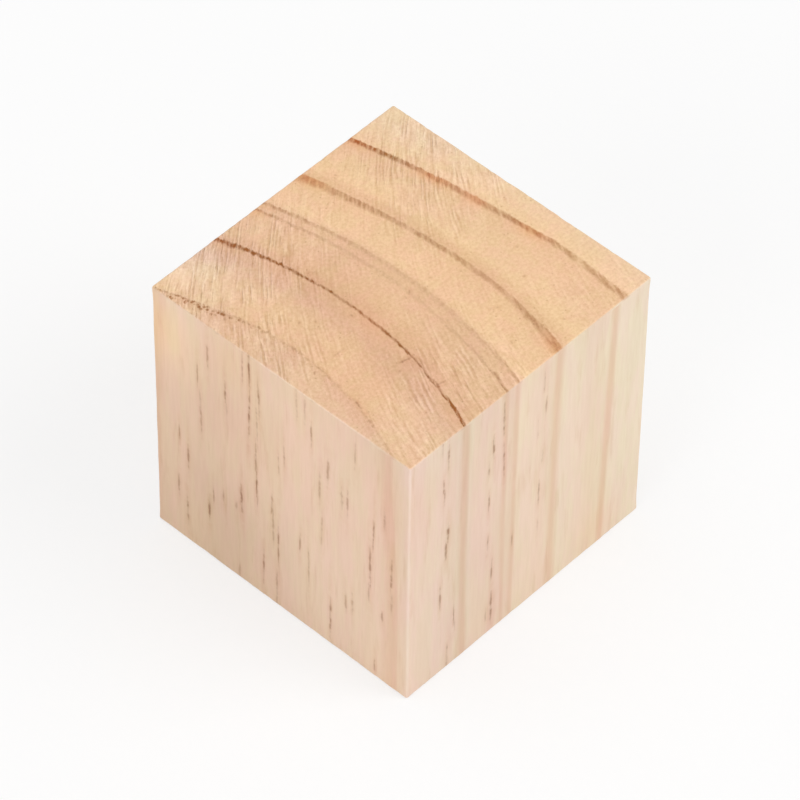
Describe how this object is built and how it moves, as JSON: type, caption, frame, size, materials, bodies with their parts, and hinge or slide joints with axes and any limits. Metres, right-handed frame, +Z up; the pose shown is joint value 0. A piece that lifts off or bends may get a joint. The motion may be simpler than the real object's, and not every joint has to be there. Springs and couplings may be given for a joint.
{
  "type": "wood block",
  "caption": "Plain solid pine cube with finely eased edges, its grain upright and end grain on top and base, for stacking, crafts or use as a riser.",
  "frame": {"origin": "centre of the base, on the face that it rests on", "axes": "+Z up along the grain, from the base to the top end grain; +X across the growth rings, away from the heart of the tree; +Y along the growth rings"},
  "size_m": [0.05, 0.05, 0.05],
  "materials": {
    "pine": "bare, fine-sanded long grain and sawn end grain, matt"
  },
  "bodies": {
    "root": {"wood_block": "pine"}
  },
  "joints": []
}
